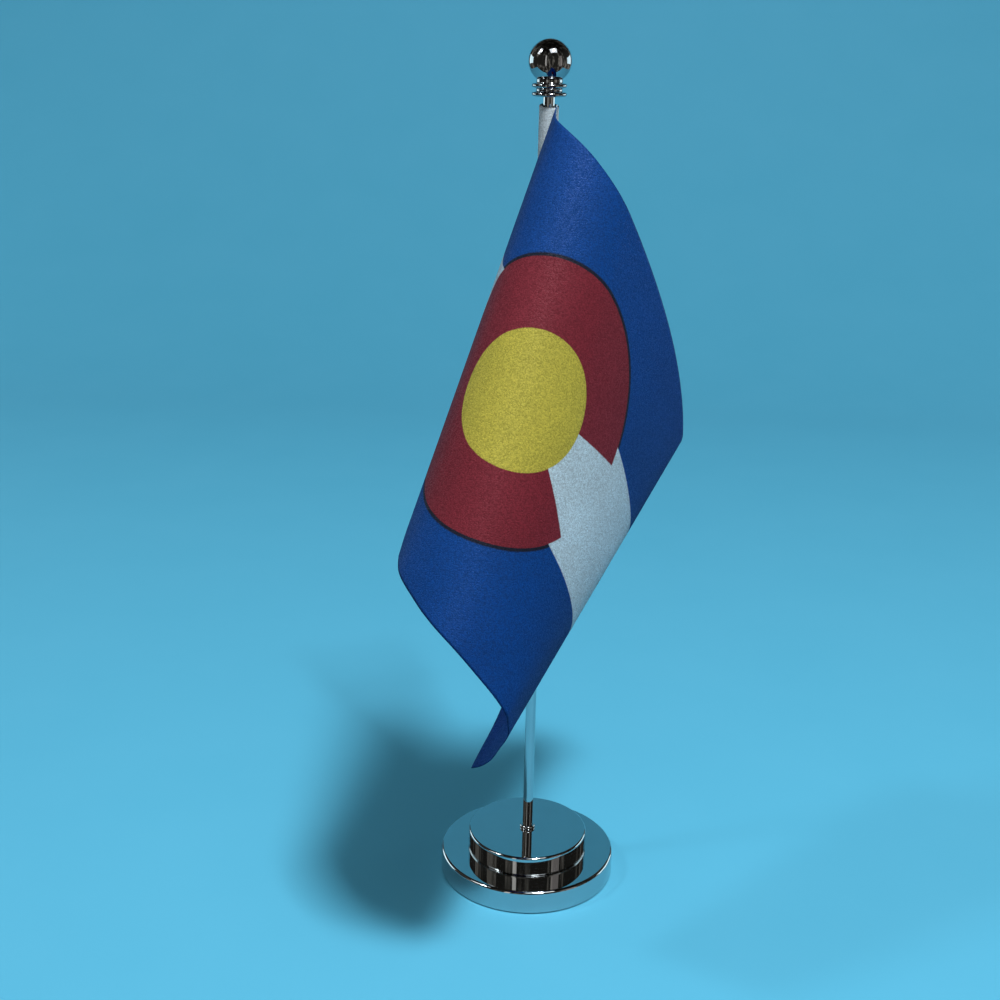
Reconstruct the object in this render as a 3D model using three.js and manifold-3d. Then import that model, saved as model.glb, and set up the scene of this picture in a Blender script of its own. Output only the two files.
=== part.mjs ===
// Desk flag stand: a small cloth flag rolled into a loose cone on a thin rod, over a two-tier round base.
// Millimetres, +Z up. The origin is the centre of the foot pad's underside, on the rod's axis.
// The flag's right side faces -Y.
import * as THREE from 'three';
import { mergeVertices } from 'three/addons/utils/BufferGeometryUtils.js';
import Module from 'manifold-3d';

const wasm = await Module();
wasm.setup();

// ---- Driving dimensions -------------------------------------------------------------------------

// Base, lower tier: a pressed shell over a cast weight, on a foam foot pad.
const lowerRadius = 35;
const lowerTop = 9.7;
const shellWall = 1.2;
const shellRimLift = 0.5;
const shellEdgeRound = 1.2;
const padThickness = 1.5;
const padInset = 0.8;

// Base, upper tier: a turned steel disc.
const upperRadius = 23.9;
const upperHeight = 8.2;
const upperEdgeRound = 0.9;

// The threaded bush that clamps the tiers from below and takes the rod's foot.
const bushWall = 1.65;
const bushEngagement = 5;
const bushHeadFlats = 10;
const bushHeadHeight = 2.2;
const bushAbovePad = 0.6;
const bushFloor = 1;
const springWasherHeight = 1.1;
const springWasherSplit = 14;
const flatWasherHeight = 0.8;
const flatWasherRadius = 7;
const washerStep = 0.5;
const counterboreRoom = 1;

// Rod and its foot collar.
const rodRadius = 2;
const rodTopAboveTable = 315.45;
const rodEndChamfer = 0.5;
const collarRadius = 3;
const collarHeight = 1.3;

// Finial: a ball on a turned collar with two rounded rings, round a thin grip bush.
const ballRadius = 7.5;
const neckRadius = 4.55;
const neckHeight = 5.7;
const ringRadius = 6.1;
const ringHeight = 1.5;
const ringPitch = 2.9;
const gripWall = 0.8;
const gripCap = 0.5;
const gripDepth = 8.4;

// Flag: hoist is its height along the rod, fly its length.
const hoist = 140;
const fly = 210;
const heading = 5;
const clothThickness = 0.6;
const sleeveWall = 1.2;
const flagDrop = 2.5;
const threadWidth = 0.4;
const threadFromSeam = 1.2;
const threadEndInset = 8;

// Clearances.
const seat = 0.05;
const slip = 0.3;
const threadFit = 0.15;
const gripFit = 0.1;

// Facets round a full turn, on large and on small pieces.
const largeSteps = 64;
const smallSteps = 32;

// How the cloth hangs. It bends only across straight lines, so it keeps its cut size. Each stretch ends
// on the line that meets the top edge at `top` and the bottom edge at `bottom`, both measured from the
// hoist on a flag whose fly is `drapeFly`, and the cloth turns by `turn` degrees over the stretch. The
// cloth's solid has facets about `facetAlong` by `facetDown`.
const drapeFly = 210;
const drapeHeading = 225;
const bendsPerStretch = 5;
const facetAlong = 5;
const facetDown = 7.8;
const drape = [
  { top: -5, bottom: 47, turn: 6 },
  { top: -5, bottom: 86, turn: 40 },
  { top: 19, bottom: 94, turn: 6 },
  { top: 28, bottom: 100, turn: 36 },
  { top: 31, bottom: 119, turn: 22 },
  { top: 44, bottom: 133, turn: 38 },
  { top: 71, bottom: 158, turn: 32 },
  { top: 168, bottom: 162, turn: 24 },
  { top: 177, bottom: 206, turn: 32 },
  { top: 205, bottom: 226, turn: 65 },
];

// ---- Heights and radii that follow --------------------------------------------------------------

const shellInnerTop = lowerTop - shellWall;
const shellInnerRadius = lowerRadius - shellWall;
const weightBottom = padThickness + seat;
const weightTop = shellInnerTop - seat;
const bushBottom = padThickness + bushAbovePad;
const bushHeadTop = bushBottom + bushHeadHeight;
const springWasherTop = bushHeadTop + seat + springWasherHeight;
const flatWasherTop = springWasherTop + seat + flatWasherHeight;
const counterboreTop = flatWasherTop + seat;
const springWasherRadius = flatWasherRadius - washerStep;
const counterboreRadius = flatWasherRadius + counterboreRoom;
const bushTop = lowerTop + bushEngagement;
const bushBoreRadius = rodRadius + threadFit;
const bushRadius = bushBoreRadius + bushWall;
const bushHoleRadius = bushRadius + slip;
const upperBottom = lowerTop + seat;
const upperTop = upperBottom + upperHeight;
const rodBottom = bushBottom + bushFloor + slip;
const collarBottom = upperTop + seat;
const gripTop = rodTopAboveTable + seat + gripCap;
const gripInnerRadius = rodRadius + gripFit;
const gripOuterRadius = gripInnerRadius + gripWall;
const finialBoreRadius = gripOuterRadius + gripFit;
const finialBottom = rodTopAboveTable + seat - gripDepth - slip;
const neckTop = finialBottom + neckHeight;
const ballFlat = neckTop + seat;
const ballCentre = ballFlat + Math.sqrt(ballRadius ** 2 - neckRadius ** 2);
const flagTop = finialBottom - flagDrop;
const sleeveInnerRadius = rodRadius + slip;
const sleeveRadius = sleeveInnerRadius + sleeveWall;
const seamRadius = sleeveRadius + slip + clothThickness / 2;

// ---- Materials ----------------------------------------------------------------------------------

const finish = (color, roughness, metalness) => new THREE.MeshStandardMaterial({ color, roughness, metalness });
const chromePlate = () => finish('#d9dde0', 0.06, 1);
const castIron = () => finish('#4a4846', 0.7, 0.6);
const zincSteel = () => finish('#a7abb0', 0.35, 1);
const brass = () => finish('#b9964a', 0.3, 1);
const foam = () => finish('#191a1c', 0.95, 0);
const printedCloth = () => finish('#1d4f9f', 0.75, 0);
const whiteCloth = () => finish('#d6dadb', 0.8, 0);
const thread = () => finish('#eef0f0', 0.7, 0);

// ---- Helpers ------------------------------------------------------------------------------------

const radians = THREE.MathUtils.degToRad;

// Points of a rounded corner in a turned profile, as [radius, height], from one angle to another.
function corner(radius, height, round, from, to) {
  const steps = 4;
  const points = [];
  for (let i = 0; i <= steps; i += 1) {
    const angle = radians(from + ((to - from) * i) / steps);
    points.push([radius + round * Math.cos(angle), height + round * Math.sin(angle)]);
  }
  return points;
}

// A solid turned about Z from [radius, height] points that run up its outside.
function turned(points, steps) {
  const profile = points.map(([radius, height]) => new THREE.Vector2(radius, height));
  return new THREE.LatheGeometry(profile, steps).rotateX(Math.PI / 2);
}

// The same for a ring: its profile closes on its first point.
const turnedRing = (points, steps) => turned([...points, points[0]], steps);

// A plain tube between two heights.
function tube(inner, outer, bottom, top, steps) {
  return turnedRing([[inner, bottom], [outer, bottom], [outer, top], [inner, top]], steps);
}

// A plain round bar between two heights.
function bar(radius, bottom, top, steps) {
  return turned([[0, bottom], [radius, bottom], [radius, top], [0, top]], steps);
}

// A closed geometry as a solid that can be joined and cut, and back again.
function solid(geometry) {
  const bare = geometry.clone();
  bare.deleteAttribute('normal');
  bare.deleteAttribute('uv');
  const merged = mergeVertices(bare, 1e-4);
  return new wasm.Manifold(new wasm.Mesh({
    numProp: 3,
    vertProperties: merged.attributes.position.array,
    triVerts: new Uint32Array(merged.index.array),
  }));
}

function geometryOf(manifold) {
  const mesh = manifold.getMesh();
  const geometry = new THREE.BufferGeometry();
  geometry.setAttribute('position', new THREE.BufferAttribute(mesh.vertProperties, 3));
  geometry.setIndex(new THREE.BufferAttribute(mesh.triVerts, 1));
  geometry.computeVertexNormals();
  return geometry;
}

const stand = new THREE.Group();

function add(name, geometry, material) {
  const mesh = new THREE.Mesh(geometry, material);
  mesh.name = name;
  stand.add(mesh);
}

// ---- Base ---------------------------------------------------------------------------------------

function makeFootPad() {
  const radius = shellInnerRadius - padInset;
  return bar(radius, 0, padThickness, largeSteps);
}

// The shell is a shallow cap, open below, with a hole for the bush.
function makeLowerShell() {
  return turnedRing([
    [shellInnerRadius, shellRimLift],
    [lowerRadius, shellRimLift],
    ...corner(lowerRadius - shellEdgeRound, lowerTop - shellEdgeRound, shellEdgeRound, 0, 90),
    [bushHoleRadius, lowerTop],
    [bushHoleRadius, shellInnerTop],
    [shellInnerRadius, shellInnerTop],
  ], largeSteps);
}

// The weight fills the shell and is counterbored from below for the bush's head and its washers.
function makeLowerWeight() {
  const radius = shellInnerRadius - slip;
  return turnedRing([
    [counterboreRadius, weightBottom],
    [radius, weightBottom],
    [radius, weightTop],
    [bushHoleRadius, weightTop],
    [bushHoleRadius, counterboreTop],
    [counterboreRadius, counterboreTop],
  ], largeSteps);
}

function makeUpperDisc() {
  const round = upperEdgeRound;
  const holeTop = bushTop + slip;
  const rodHoleRadius = rodRadius + slip;
  return turnedRing([
    [bushHoleRadius, upperBottom],
    ...corner(upperRadius - round, upperBottom + round, round, -90, 0),
    ...corner(upperRadius - round, upperTop - round, round, 0, 90),
    [rodHoleRadius, upperTop],
    [rodHoleRadius, holeTop],
    [bushHoleRadius, holeTop],
  ], largeSteps);
}

// Hexagon head below, threaded shank above, and a blind hole from the top for the rod's foot.
function makeClampBush() {
  const cornerRadius = bushHeadFlats / 2 / Math.cos(Math.PI / 6);
  const head = solid(bar(cornerRadius, bushBottom, bushHeadTop, 6));
  const shank = solid(bar(bushRadius, bushHeadTop - bushHeadHeight / 2, bushTop, smallSteps));
  const hole = solid(bar(bushBoreRadius, bushBottom + bushFloor, bushTop + 1, smallSteps));
  return geometryOf(head.add(shank).subtract(hole));
}

// A square-section ring with a gap in it.
function makeSpringWasher() {
  const half = radians(springWasherSplit / 2);
  const outline = new THREE.Shape();
  outline.absarc(0, 0, springWasherRadius, half, 2 * Math.PI - half, false);
  outline.absarc(0, 0, bushHoleRadius, 2 * Math.PI - half, half, true);
  outline.closePath();
  const options = { depth: springWasherHeight, bevelEnabled: false, curveSegments: smallSteps };
  const geometry = new THREE.ExtrudeGeometry(outline, options);
  return geometry.translate(0, 0, springWasherTop - springWasherHeight);
}

add('foot_pad', makeFootPad(), foam());
add('lower_shell', makeLowerShell(), chromePlate());
add('lower_weight', makeLowerWeight(), castIron());
add('upper_disc', makeUpperDisc(), chromePlate());
add('clamp_bush', makeClampBush(), zincSteel());
add('spring_washer', makeSpringWasher(), zincSteel());
add('flat_washer', tube(bushHoleRadius, flatWasherRadius, flatWasherTop - flatWasherHeight, flatWasherTop,
  smallSteps), zincSteel());

// ---- Rod ----------------------------------------------------------------------------------------

function makeRod() {
  const tip = rodRadius - rodEndChamfer;
  return turned([
    [0, rodBottom],
    [tip, rodBottom],
    [rodRadius, rodBottom + rodEndChamfer],
    [rodRadius, rodTopAboveTable - rodEndChamfer],
    [tip, rodTopAboveTable],
    [0, rodTopAboveTable],
  ], smallSteps);
}

add('rod', makeRod(), chromePlate());
add('rod_collar', tube(rodRadius + gripFit, collarRadius, collarBottom, collarBottom + collarHeight,
  smallSteps), chromePlate());

// ---- Finial -------------------------------------------------------------------------------------

// A thin cup that lines the finial's bore and stops on the rod's end.
function makeGripBush() {
  const bottom = finialBottom + slip;
  return turned([
    [0, gripTop - gripCap],
    [gripInnerRadius, gripTop - gripCap],
    [gripInnerRadius, bottom],
    [gripOuterRadius, bottom],
    [gripOuterRadius, gripTop],
    [0, gripTop],
  ], smallSteps);
}

// A neck with two rings whose edges are half round.
function makeFinialCollar() {
  const round = ringHeight / 2;
  const ring = (middle) => corner(ringRadius - round, middle, round, -90, 90);
  const lowRing = finialBottom + round;
  const highRing = lowRing + ringPitch;
  return turnedRing([
    [finialBoreRadius, finialBottom],
    ...ring(lowRing),
    [neckRadius, lowRing + round],
    [neckRadius, highRing - round],
    ...ring(highRing),
    [neckRadius, highRing + round],
    [neckRadius, neckTop],
    [finialBoreRadius, neckTop],
  ], smallSteps);
}

// A ball with a flat where it sits on the neck and a blind bore for the grip bush.
function makeFinialBall() {
  const steps = 18;
  const start = Math.asin((ballFlat - ballCentre) / ballRadius);
  const boreTop = gripTop + gripFit;
  const points = [[0, boreTop], [finialBoreRadius, boreTop], [finialBoreRadius, ballFlat]];
  for (let i = 0; i < steps; i += 1) {
    const angle = start + ((Math.PI / 2 - start) * i) / steps;
    points.push([ballRadius * Math.cos(angle), ballCentre + ballRadius * Math.sin(angle)]);
  }
  points.push([0, ballCentre + ballRadius]);
  return turned(points, smallSteps);
}

add('finial_bush', makeGripBush(), brass());
add('finial_collar', makeFinialCollar(), chromePlate());
add('finial_ball', makeFinialBall(), chromePlate());

// ---- Flag ---------------------------------------------------------------------------------------

// The lines that the cloth bends across, in order from the hoist, each with its own small turn.
function bendLines() {
  const lines = [];
  const scale = fly / drapeFly;
  let from = { top: -heading, bottom: -heading };
  for (const stretch of drape) {
    const to = { top: stretch.top * scale, bottom: stretch.bottom * scale };
    for (let i = 0; i < bendsPerStretch; i += 1) {
      const share = (i + 0.5) / bendsPerStretch;
      lines.push({
        top: THREE.MathUtils.lerp(from.top, to.top, share),
        bottom: THREE.MathUtils.lerp(from.bottom, to.bottom, share),
        turn: radians(stretch.turn / bendsPerStretch),
      });
    }
    from = to;
  }
  return lines;
}

// Where each flat piece of cloth between two bend lines lies. A flat point is (along the fly, down from
// the top edge, 0), and the first piece leaves the sleeve on a tangent, at the front right of the rod.
function clothFrames(lines) {
  const angle = radians(drapeHeading);
  const along = new THREE.Vector3(Math.cos(angle), Math.sin(angle), 0);
  const down = new THREE.Vector3(0, 0, -1);
  const outward = new THREE.Vector3().crossVectors(along, down);
  const seam = outward.clone().multiplyScalar(seamRadius).setZ(flagTop);
  let frame = new THREE.Matrix4().makeBasis(along, down, outward).setPosition(seam);
  frame.multiply(new THREE.Matrix4().makeTranslation(heading, 0, 0));
  const frames = [frame];
  for (const line of lines) {
    const axis = new THREE.Vector3(line.top - line.bottom, -hoist, 0).normalize();
    const bend = new THREE.Matrix4().makeTranslation(line.top, 0, 0)
      .multiply(new THREE.Matrix4().makeRotationAxis(axis, line.turn))
      .multiply(new THREE.Matrix4().makeTranslation(-line.top, 0, 0));
    frame = frame.clone().multiply(bend);
    frames.push(frame);
  }
  return frames;
}

const lines = bendLines();
const frames = clothFrames(lines);

// A point of the hanging cloth, `lift` in front of its middle surface.
function clothPoint(u, v, lift) {
  const passed = lines.filter((line) => u > THREE.MathUtils.lerp(line.top, line.bottom, v / hoist)).length;
  return new THREE.Vector3(u, v, lift).applyMatrix4(frames[passed]);
}

// A closed slab of cloth between two distances along the fly, two down the hoist, and two lifts.
function clothSlab(u0, u1, v0, v1, lift0, lift1, columns, rows) {
  const positions = [];
  const index = [];
  const perSide = (columns + 1) * (rows + 1);
  for (const lift of [lift0, lift1]) {
    for (let j = 0; j <= rows; j += 1) {
      for (let i = 0; i <= columns; i += 1) {
        const u = THREE.MathUtils.lerp(u0, u1, i / columns);
        const v = THREE.MathUtils.lerp(v0, v1, j / rows);
        positions.push(...clothPoint(u, v, lift).toArray());
      }
    }
  }
  const at = (side, i, j) => side * perSide + j * (columns + 1) + i;
  const quad = (a, b, c, d) => index.push(a, b, c, a, c, d);
  for (let j = 0; j < rows; j += 1) {
    for (let i = 0; i < columns; i += 1) {
      quad(at(0, i, j), at(0, i, j + 1), at(0, i + 1, j + 1), at(0, i + 1, j));
      quad(at(1, i, j), at(1, i + 1, j), at(1, i + 1, j + 1), at(1, i, j + 1));
    }
  }
  for (let i = 0; i < columns; i += 1) {
    quad(at(0, i, 0), at(0, i + 1, 0), at(1, i + 1, 0), at(1, i, 0));
    quad(at(0, i + 1, rows), at(0, i, rows), at(1, i, rows), at(1, i + 1, rows));
  }
  for (let j = 0; j < rows; j += 1) {
    quad(at(0, 0, j + 1), at(0, 0, j), at(1, 0, j), at(1, 0, j + 1));
    quad(at(0, columns, j), at(0, columns, j + 1), at(1, columns, j + 1), at(1, columns, j));
  }
  const geometry = new THREE.BufferGeometry();
  geometry.setAttribute('position', new THREE.Float32BufferAttribute(positions, 3));
  geometry.setIndex(index);
  geometry.computeVertexNormals();
  return geometry;
}

function makePanel() {
  const half = clothThickness / 2;
  const columns = Math.round((heading + fly) / facetAlong);
  const rows = Math.round(hoist / facetDown);
  return clothSlab(-heading, fly, 0, hoist, -half, half, columns, rows);
}

// The sewing thread, as one flat line along the heading's right side.
function makeSeamThread() {
  const near = threadFromSeam - heading;
  const low = clothThickness / 2 + slip;
  const rows = Math.round(hoist / facetAlong);
  return clothSlab(near, near + threadWidth, threadEndInset, hoist - threadEndInset, low, low + threadWidth,
    1, rows);
}

add('flag_panel', makePanel(), printedCloth());
add('flag_sleeve', tube(sleeveInnerRadius, sleeveRadius, flagTop - hoist, flagTop, smallSteps), whiteCloth());
add('seam_thread', makeSeamThread(), thread());

export default stand;
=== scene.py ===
"""Looks of a desk flag stand: a printed cloth flag rolled into a loose cone on a plated rod, with a ball
finial above and a two-tier round base below. Metres, +Z up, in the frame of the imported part."""

import math

import bmesh
import bpy
import numpy as np
from mathutils import Matrix, Vector


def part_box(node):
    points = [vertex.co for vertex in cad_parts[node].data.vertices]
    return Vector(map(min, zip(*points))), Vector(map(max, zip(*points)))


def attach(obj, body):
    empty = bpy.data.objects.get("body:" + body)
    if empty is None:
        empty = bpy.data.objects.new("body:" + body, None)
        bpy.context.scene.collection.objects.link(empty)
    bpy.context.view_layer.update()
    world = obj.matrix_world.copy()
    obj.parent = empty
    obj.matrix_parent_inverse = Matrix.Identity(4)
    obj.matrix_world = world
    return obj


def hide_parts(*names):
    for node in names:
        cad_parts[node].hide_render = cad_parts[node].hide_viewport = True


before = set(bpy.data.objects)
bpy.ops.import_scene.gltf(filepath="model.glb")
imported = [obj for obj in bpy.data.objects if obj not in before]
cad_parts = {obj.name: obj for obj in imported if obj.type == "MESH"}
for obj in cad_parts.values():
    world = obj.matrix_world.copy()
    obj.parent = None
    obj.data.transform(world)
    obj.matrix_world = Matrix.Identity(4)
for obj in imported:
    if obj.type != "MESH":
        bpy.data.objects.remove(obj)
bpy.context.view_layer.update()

MM = 0.001
TINY = 0.02 * MM


# ---- Camera -------------------------------------------------------------------------------------

CAMERA_PLACE = Vector((0, -0.52367, 0.33649))
CAMERA_YAW = math.radians(-1.537)
CAMERA_PITCH = math.radians(18.74)
CAMERA_ROLL = math.radians(1.223)
CAMERA_LENS = 52.55


def add_camera():
    """The camera stands in front of the flag and looks down at it."""
    forward = Vector((
        math.sin(CAMERA_YAW) * math.cos(CAMERA_PITCH),
        math.cos(CAMERA_YAW) * math.cos(CAMERA_PITCH),
        -math.sin(CAMERA_PITCH),
    ))
    right = Vector((math.cos(CAMERA_YAW), -math.sin(CAMERA_YAW), 0))
    up = right.cross(forward)
    across = math.cos(CAMERA_ROLL) * right + math.sin(CAMERA_ROLL) * up
    upright = math.cos(CAMERA_ROLL) * up - math.sin(CAMERA_ROLL) * right
    camera = bpy.data.objects.new("camera", bpy.data.cameras.new("camera"))
    bpy.context.scene.collection.objects.link(camera)
    turned = Matrix((across, upright, -forward)).transposed().to_4x4()
    camera.matrix_world = Matrix.Translation(CAMERA_PLACE) @ turned
    camera.data.lens = CAMERA_LENS
    camera.data.clip_start = 0.01
    bpy.context.scene.camera = camera


# ---- Nodes and colours --------------------------------------------------------------------------

# Sockets of the Mix node when it mixes colours.
MIX_SHARE = 0
MIX_FIRST = 6
MIX_SECOND = 7
MIX_COLOUR = 2


def linear(code):
    """An sRGB hex colour as the linear RGBA that shaders use."""
    parts = [int(code[i:i + 2], 16) / 255 for i in (1, 3, 5)]
    return (*[p / 12.92 if p <= 0.04045 else ((p + 0.055) / 1.055) ** 2.4 for p in parts], 1)


def put(tree, kind, inputs=None, **settings):
    """Adds a node with its settings, and gives its inputs values or links from other nodes' outputs."""
    node = tree.nodes.new(kind)
    for name, value in settings.items():
        setattr(node, name, value)
    for key, value in (inputs or {}).items():
        if isinstance(value, bpy.types.NodeSocket):
            tree.links.new(value, node.inputs[key])
        else:
            node.inputs[key].default_value = value
    return node


def new_material(name):
    material = bpy.data.materials.new(name)
    material.use_nodes = True
    material.node_tree.nodes.clear()
    return material, material.node_tree


# ---- Metals and foam ----------------------------------------------------------------------------

# A wave texture repeats every this many metres divided by its scale.
WAVE_LENGTH = 0.314
TOOL_MARKS = 0.2 * MM
THREAD_TWIST = 0.3 * MM


def chrome_plate(name, colour, haze_low, haze_high):
    """Bright chrome over polished steel: a near-perfect mirror, with a faint polishing haze in patches and
    the very slight waviness that buffing leaves, so that straight reflections swim a little."""
    material, tree = new_material(name)
    place = put(tree, "ShaderNodeTexCoord").outputs["Object"]
    patches = put(tree, "ShaderNodeTexNoise", {"Vector": place, "Scale": 1 / (11 * MM), "Detail": 5})
    haze = put(tree, "ShaderNodeMapRange", {
        "Value": patches.outputs[0], "From Min": 0.38, "From Max": 0.72,
        "To Min": haze_low, "To Max": haze_high})
    # Buffing scratches are a few microns wide, too fine to show, so they are drawn 0.15 mm wide.
    hairs = put(tree, "ShaderNodeTexNoise", {
        "Vector": put(tree, "ShaderNodeMapping", {"Vector": place, "Scale": (1, 1, 9)}).outputs[0],
        "Scale": 1 / (1.4 * MM), "Detail": 3, "Roughness": 0.7})
    waves = put(tree, "ShaderNodeTexNoise", {"Vector": place, "Scale": 1 / (7 * MM), "Detail": 1})
    relief = put(tree, "ShaderNodeMath", {
        0: hairs.outputs[0], 1: 0.02, 2: waves.outputs[0]}, operation="MULTIPLY_ADD")
    bump = put(tree, "ShaderNodeBump", {"Height": relief.outputs[0], "Strength": 1, "Distance": 0.006 * MM})
    tone = put(tree, "ShaderNodeMix", {
        MIX_SHARE: patches.outputs[0], MIX_FIRST: linear(colour),
        MIX_SECOND: tuple(0.9 * c for c in linear(colour)[:3]) + (1,)}, data_type="RGBA")
    shader = put(tree, "ShaderNodeBsdfPrincipled", {
        "Base Color": tone.outputs[MIX_COLOUR], "Metallic": 1, "Roughness": haze.outputs[0],
        "Normal": bump.outputs[0]})
    put(tree, "ShaderNodeOutputMaterial", {"Surface": shader.outputs[0]})
    return material


def cast_iron():
    """Grey iron as cast in sand: dark, matt and pitted, with a trace of rust in patches."""
    material, tree = new_material("cast_iron")
    place = put(tree, "ShaderNodeTexCoord").outputs["Object"]
    sand = put(tree, "ShaderNodeTexNoise", {"Vector": place, "Scale": 1 / (0.7 * MM), "Detail": 6})
    stains = put(tree, "ShaderNodeTexNoise", {"Vector": place, "Scale": 1 / (9 * MM), "Detail": 4})
    rusty = put(tree, "ShaderNodeMapRange", {
        "Value": stains.outputs[0], "From Min": 0.52, "From Max": 0.75})
    tone = put(tree, "ShaderNodeMix", {
        MIX_SHARE: rusty.outputs[0], MIX_FIRST: linear("#46433f"), MIX_SECOND: linear("#5d4030")},
        data_type="RGBA")
    bump = put(tree, "ShaderNodeBump", {"Height": sand.outputs[0], "Distance": 0.25 * MM})
    shader = put(tree, "ShaderNodeBsdfPrincipled", {
        "Base Color": tone.outputs[MIX_COLOUR], "Metallic": 0.6, "Roughness": 0.72,
        "Normal": bump.outputs[0]})
    put(tree, "ShaderNodeOutputMaterial", {"Surface": shader.outputs[0]})
    return material


def turned_metal(name, light, dark, roughness):
    """Metal turned on a lathe, bare brass or zinc-plated steel: fine rings round the axis that catch the
    light, over a slightly blotchy tone. The tool marks are 0.05 mm apart, and are drawn 0.2 mm apart."""
    material, tree = new_material(name)
    place = put(tree, "ShaderNodeTexCoord").outputs["Object"]
    rings = put(tree, "ShaderNodeTexWave", {
        "Vector": place, "Scale": WAVE_LENGTH / TOOL_MARKS, "Distortion": 1.5, "Detail": 2},
        wave_type="BANDS", bands_direction="Z")
    blotches = put(tree, "ShaderNodeTexNoise", {"Vector": place, "Scale": 1 / (3 * MM), "Detail": 4})
    tone = put(tree, "ShaderNodeMix", {
        MIX_SHARE: blotches.outputs[0], MIX_FIRST: linear(light), MIX_SECOND: linear(dark)},
        data_type="RGBA")
    dull = put(tree, "ShaderNodeMapRange", {
        "Value": blotches.outputs[0], "To Min": roughness - 0.08, "To Max": roughness + 0.14})
    bump = put(tree, "ShaderNodeBump", {"Height": rings.outputs["Fac"], "Distance": 0.01 * MM})
    shader = put(tree, "ShaderNodeBsdfPrincipled", {
        "Base Color": tone.outputs[MIX_COLOUR], "Metallic": 1, "Roughness": dull.outputs[0],
        "Normal": bump.outputs[0]})
    put(tree, "ShaderNodeOutputMaterial", {"Surface": shader.outputs[0]})
    return material


def eva_foam():
    """Black EVA foam cut from sheet: dull, with tiny open cells that speckle it."""
    material, tree = new_material("eva_foam")
    place = put(tree, "ShaderNodeTexCoord").outputs["Object"]
    cells = put(tree, "ShaderNodeTexVoronoi", {"Vector": place, "Scale": 1 / (0.5 * MM)})
    dust = put(tree, "ShaderNodeTexNoise", {"Vector": place, "Scale": 1 / (4 * MM), "Detail": 6})
    tone = put(tree, "ShaderNodeMix", {
        MIX_SHARE: dust.outputs[0], MIX_FIRST: linear("#141516"), MIX_SECOND: linear("#2b2d2f")},
        data_type="RGBA")
    bump = put(tree, "ShaderNodeBump", {"Height": cells.outputs["Distance"], "Distance": 0.12 * MM})
    shader = put(tree, "ShaderNodeBsdfPrincipled", {
        "Base Color": tone.outputs[MIX_COLOUR], "Roughness": 0.92, "IOR": 1.45, "Normal": bump.outputs[0]})
    put(tree, "ShaderNodeOutputMaterial", {"Surface": shader.outputs[0]})
    return material


# ---- Turned pieces ------------------------------------------------------------------------------

LARGE_SIDES = 256
SMALL_SIDES = 96
FINIAL_SIDES = 128


def start_ring(name, radius, height, sides):
    """A circle about the Z axis, open in edit mode with all of it selected."""
    bpy.ops.object.select_all(action="DESELECT")
    bpy.ops.mesh.primitive_circle_add(
        vertices=sides, radius=radius, location=(0, 0, 0), enter_editmode=True)
    piece = bpy.context.object
    piece.name = name
    piece.data.name = name
    bpy.ops.transform.translate(value=(0, 0, height))
    return piece


def next_ring(old, new):
    """Extrudes the selected ring from one (radius, height) to the next."""
    bpy.ops.mesh.extrude_region_move(TRANSFORM_OT_translate={"value": (0, 0, new[1] - old[1])})
    share = new[0] / old[0]
    bpy.ops.transform.resize(value=(share, share, 1), center_override=(0, 0, new[1]))


def close_at_axis():
    """Closes the selected ring with a flat face."""
    bpy.ops.mesh.edge_face_add()


def round_rings(piece, rings, width, segments):
    """Bevels the edges that run round the piece at the given (radius, height) places."""
    bpy.ops.mesh.select_mode(type="EDGE")
    bpy.ops.mesh.select_all(action="DESELECT")
    mesh = bmesh.from_edit_mesh(piece.data)
    for edge in mesh.edges:
        for radius, height in rings:
            if all(math.isclose(v.co.xy.length, radius, abs_tol=TINY)
                   and math.isclose(v.co.z, height, abs_tol=TINY) for v in edge.verts):
                edge.select_set(True)
    bmesh.update_edit_mesh(piece.data)
    bpy.ops.mesh.bevel(offset=width, segments=segments, affect="EDGES")


def close_piece(piece, material):
    """Leaves edit mode with faces outwards, shades the piece smooth and gives it its material."""
    bpy.ops.mesh.select_all(action="SELECT")
    bpy.ops.mesh.remove_doubles(threshold=TINY / 10)
    bpy.ops.mesh.normals_make_consistent(inside=False)
    bpy.ops.object.mode_set(mode="OBJECT")
    bpy.ops.object.shade_smooth_by_angle(angle=math.radians(35))
    bpy.ops.object.modifier_add(type="WEIGHTED_NORMAL")
    piece.modifiers[-1].keep_sharp = True
    bpy.ops.object.modifier_apply(modifier=piece.modifiers[-1].name)
    piece.data.materials.append(material)
    return piece


def ring_piece(name, profile, rounds, sides, material):
    """A turned piece with a hole: a ring taken round its [radius, height] profile and back to the start.
    Each entry of rounds is (places in the profile, width, segments)."""
    piece = start_ring(name, *profile[0], sides)
    for old, new in zip(profile, profile[1:] + profile[:1]):
        next_ring(old, new)
    bpy.ops.mesh.select_all(action="SELECT")
    bpy.ops.mesh.remove_doubles(threshold=TINY / 10)
    for places, width, segments in rounds:
        round_rings(piece, [profile[i] for i in places], width, segments)
    return close_piece(piece, material)


def round_bar(name, profile, rounds, sides, material):
    """A turned piece with no hole, closed by a flat face at each end."""
    piece = start_ring(name, *profile[0], sides)
    close_at_axis()
    for old, new in zip(profile, profile[1:]):
        next_ring(old, new)
    for places, width, segments in rounds:
        round_rings(piece, [profile[i] for i in places], width, segments)
    return close_piece(piece, material)


# ---- Base, rod and finial -----------------------------------------------------------------------

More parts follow.
